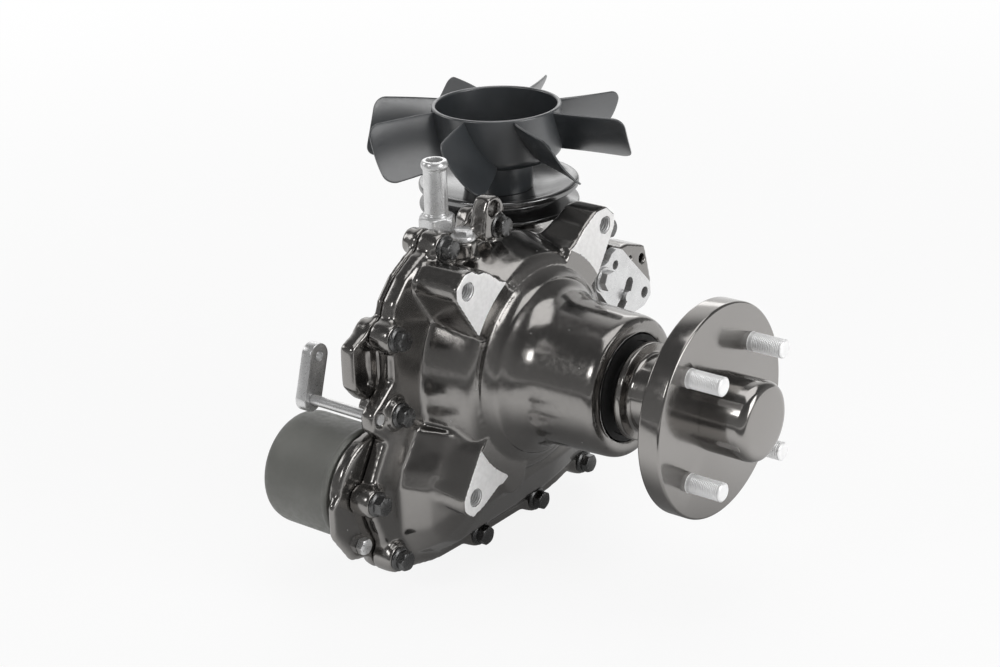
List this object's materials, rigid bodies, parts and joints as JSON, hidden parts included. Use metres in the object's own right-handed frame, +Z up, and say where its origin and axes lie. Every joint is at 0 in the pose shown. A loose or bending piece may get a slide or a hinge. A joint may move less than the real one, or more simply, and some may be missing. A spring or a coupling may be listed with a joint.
{
  "type": "hydrostatic transaxle",
  "caption": "Hydrostatic wheel-drive transaxle: two-part cast case, axle horn with studded hub, V-belt pulley and cooling fan on top, spin-on filter, control arm and bypass lever.",
  "frame": {"origin": "centre of the wheel hub face that the wheel is bolted to, on the axle line", "axes": "+X points outboard along the axle, out of the hub face; +Y points to the side with the control arm; +Z is up, along the input shaft"},
  "size_m": [0.3654, 0.3404, 0.2773],
  "materials": {
    "casing_paint": "gloss black paint over cast aluminium, with machined pads",
    "hub_paint": "semi-gloss black paint",
    "black_steel": "black oxide",
    "steel": "ground",
    "gear_steel": "oiled",
    "iron": "machined",
    "zinc": "bright zinc plate",
    "rubber": "matt",
    "bronze": "satin",
    "cast_aluminium": "as cast",
    "pulley_steel": "bright plated, with a dark groove",
    "fan_plastic": "satin moulded",
    "filter_paint": "satin grey paint",
    "paper": "pleated filter paper in resin"
  },
  "bodies": {
    "casing": {"horn_housing": "casing_paint", "inboard_housing": "casing_paint", "flange_bolts": "black_steel", "dowel_pins": "steel", "outer_axle_bearing": "steel", "inner_axle_bearing": "steel", "axle_seal": "rubber", "jackshaft_bearings": "steel", "motor_bearing": "steel", "motor_swashplate": "gear_steel", "center_section": "iron", "center_section_bolts": "black_steel", "input_bearing": "steel", "input_seal": "rubber", "trunnion_bushes": "bronze", "trunnion_seal": "rubber", "stop_pin": "zinc", "charge_pump_cover": "cast_aluminium", "hose_barb": "zinc", "vent_plug": "zinc", "drain_plug": "zinc", "filter_nipple": "steel", "filter_canister": "filter_paint", "filter_seal": "rubber", "filter_element": "paper", "guard_bolt": "zinc"},
    "wheel_end": {"axle_shaft": "steel", "wheel_hub": "hub_paint", "wheel_studs": "zinc", "hub_key": "steel", "hub_nut": "zinc", "hub_cap": "hub_paint", "bull_gear": "gear_steel"},
    "jack": {"jackshaft": "gear_steel", "jackshaft_gear": "gear_steel"},
    "motor": {"motor_shaft": "gear_steel", "motor_block": "gear_steel", "motor_pistons": "steel"},
    "input": {"input_shaft": "steel", "pulley": "pulley_steel", "fan": "fan_plastic", "fan_nut": "zinc", "pump_block": "gear_steel", "pump_pistons": "steel", "charge_rotor": "gear_steel"},
    "control": {"swashplate": "gear_steel", "control_arm": "zinc", "arm_bolt": "zinc"},
    "bypass": {"bypass_shaft": "zinc", "bypass_lever": "zinc"}
  },
  "joints": [
    {"name": "axle_spin", "type": "hinge", "parent": "casing", "child": "wheel_end", "pos_m": [0, 0, 0], "axis": [1, 0, 0], "continuous": true},
    {"name": "jack_spin", "type": "hinge", "parent": "casing", "child": "jack", "pos_m": [-0.19, 0.07208, -0.04504], "axis": [1, 0, 0], "continuous": true},
    {"name": "motor_spin", "type": "hinge", "parent": "casing", "child": "motor", "pos_m": [-0.2, 0.03418, -0.07917], "axis": [1, 0, 0], "continuous": true},
    {"name": "input_spin", "type": "hinge", "parent": "casing", "child": "input", "pos_m": [-0.2398, 0.0832, 0.08], "axis": [0, 0, 1], "continuous": true},
    {"name": "control_tilt", "type": "hinge", "parent": "casing", "child": "control", "pos_m": [-0.153, 0.0832, 0.032], "axis": [1, 0, 0], "range_deg": [-15, 15]},
    {"name": "bypass_turn", "type": "hinge", "parent": "casing", "child": "bypass", "pos_m": [-0.2397, -0.126, -0.003], "axis": [1, 0, 0], "range_deg": [0, 60]}
  ],
  "couplings": [
    {"joint": "jack_spin", "follows": "axle_spin", "ratio": -4},
    {"joint": "motor_spin", "follows": "axle_spin", "ratio": 12}
  ]
}
